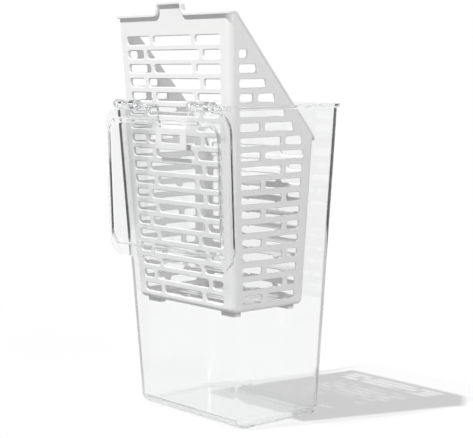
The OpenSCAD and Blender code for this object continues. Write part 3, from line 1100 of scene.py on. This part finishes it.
def far_share(tree, start, end):
    """0 within one distance from the keeper, rising to 1 at another."""
    share = tree.add("MapRange", {"From Min": start, "From Max": end})
    share.interpolation_type = "SMOOTHSTEP"
    tree.link(tree.vector_calc("LENGTH", tree.place())["Value"], share, "Value")
    return share.outputs["Result"]


def painted_edge_shade_share(tree):
    """Painted dark reflection for the clear edges: 1 or more for rays that bounced inside clear plastic
    and end far off on the side of the floor that is painted black for them.

    It is less close by, for rays that went through one wall only, and 0 for all other rays.
    """
    ray = tree.add("LightPath").outputs
    inner = tree.calc("MULTIPLY", ray["Glossy Depth"], ray["Transmission Depth"])
    towards = tree.vector_calc("NORMALIZE", tree.place())["Vector"]
    along = tree.vector_calc("DOT_PRODUCT", towards, PAINTED_SHADE_SIDE)["Value"]
    behind = tree.calc("GREATER_THAN", along, PAINTED_SHADE_COSINE)
    one_wall = tree.calc("LESS_THAN", ray["Transmission Depth"], ONE_WALL_FACES)
    weak = tree.calc("MULTIPLY", one_wall, NEAR_SHARE)
    near = tree.calc("MULTIPLY", weak, far_share(tree, *PAINTED_SHADE_NEAR))
    far = tree.calc("MAXIMUM", near, far_share(tree, *PAINTED_SHADE_FAR))
    return tree.calc("MULTIPLY", inner, tree.calc("MULTIPLY", behind, far))


def floor_material(stage):
    """White floor that keeps the shadow where it is seen and gives back less light elsewhere. For rays
    from inside clear plastic it is painted black on one side, as a painted dark reflection in the clear
    edges.
    """
    tree = NodeTree(bpy.data.materials.new("white_floor"), "OutputMaterial")
    bounce = tree.shader("BsdfDiffuse", {"Color": grey(stage.floor_bounce)})
    near = tree.add("AddShader")
    tree.link(tree.shader("BsdfDiffuse", {"Color": grey(stage.floor_seen)}), near, 0)
    tree.link(tree.shader("Emission", {"Color": grey(stage.floor_lift)}), near, 1)
    white = tree.shader("Emission", {"Color": grey(1)})
    seen = tree.mix(far_share(tree, *FLOOR_FADE), near.outputs["Shader"], white)
    both = tree.mix(seen_share(tree), bounce, seen)
    # Painted dark reflection: the floor turns black for rays that bounced inside clear plastic, which
    # darkens the clear edges
    tree.link(tree.mix(painted_edge_shade_share(tree), both), tree.output, "Surface")
    return tree.owner


def add_floor(stage):
    """Wide plain floor just under the container's base."""
    outline = box_outline(-FLOOR_HALF, FLOOR_HALF, -FLOOR_HALF, FLOOR_HALF)
    bm = bmesh.new()
    bm.faces.new([bm.verts.new((x, y, -FLOOR_GAP)) for x, y in outline])
    floor = mesh_piece("floor", bm)
    floor.data.materials.append(floor_material(stage))


def add_world(stage):
    """Soft light from all round, white where it is seen."""
    world = bpy.data.worlds.new("studio")
    bpy.context.scene.world = world
    tree = NodeTree(world, "OutputWorld")
    fill = tree.shader("Background", {"Color": grey(1), "Strength": stage.fill})
    white = tree.shader("Background", {"Color": grey(1), "Strength": 1})
    tree.link(tree.mix(seen_share(tree), fill, white), tree.output, "Surface")


# Operators and panel


class KEEPER_OT_container(Operator):
    """Build the clear container with its notch and hinge lugs"""

    bl_idname = "keeper.container"
    bl_label = "Container"

    def execute(self, context):
        build_container(context.scene.herb_keeper)
        return {"FINISHED"}


class KEEPER_OT_lid(Operator):
    """Build the clear flap lid with its barrels"""

    bl_idname = "keeper.lid"
    bl_label = "Lid"

    def execute(self, context):
        build_lid(context.scene.herb_keeper)
        return {"FINISHED"}


class KEEPER_OT_basket(Operator):
    """Build the white basket with its slots, hook and feet"""

    bl_idname = "keeper.basket"
    bl_label = "Basket"

    def execute(self, context):
        build_basket(context.scene.herb_keeper)
        return {"FINISHED"}


class KEEPER_OT_stage(Operator):
    """Set up the camera, lamps, floor and surroundings"""

    bl_idname = "keeper.stage"
    bl_label = "Stage"

    def execute(self, context):
        stage = context.scene.herb_keeper.stage
        context.scene.view_settings.view_transform = "Standard"
        add_camera(stage)
        add_key(stage)
        add_side_lamp(stage)
        add_floor(stage)
        add_world(stage)
        return {"FINISHED"}


OPERATORS = (KEEPER_OT_stage, KEEPER_OT_container, KEEPER_OT_lid, KEEPER_OT_basket)


class KEEPER_PT_panel(Panel):
    """Panel with the keeper's pieces and their settings"""

    bl_idname = "KEEPER_PT_panel"
    bl_label = "Herb keeper"
    bl_space_type = "VIEW_3D"
    bl_region_type = "UI"
    bl_category = "Herb keeper"

    def draw(self, context):
        for operator in OPERATORS:
            self.layout.operator(operator.bl_idname)
        for name in KEEPER_PG_settings.__annotations__:
            column = self.layout.column(heading=name.title())
            group = getattr(context.scene.herb_keeper, name)
            for setting in group.__annotations__:
                column.prop(group, setting)


CLASSES = (
    KEEPER_PG_container,
    KEEPER_PG_hinge,
    KEEPER_PG_lid,
    KEEPER_PG_basket,
    KEEPER_PG_slots,
    KEEPER_PG_hook,
    KEEPER_PG_finish,
    KEEPER_PG_stage,
    KEEPER_PG_settings,
    *OPERATORS,
    KEEPER_PT_panel,
)


def register():
    """Adds the classes and the scene's settings."""
    for cls in CLASSES:
        bpy.utils.register_class(cls)
    bpy.types.Scene.herb_keeper = PointerProperty(type=KEEPER_PG_settings)


def unregister():
    """Takes the settings and the classes away again."""
    del bpy.types.Scene.herb_keeper
    for cls in reversed(CLASSES):
        bpy.utils.unregister_class(cls)


def main():
    """Builds the stage and the pieces in order."""
    register()
    bpy.ops.keeper.stage()
    bpy.ops.keeper.container()
    bpy.ops.keeper.lid()
    bpy.ops.keeper.basket()


if __name__ == "__main__":
    main()
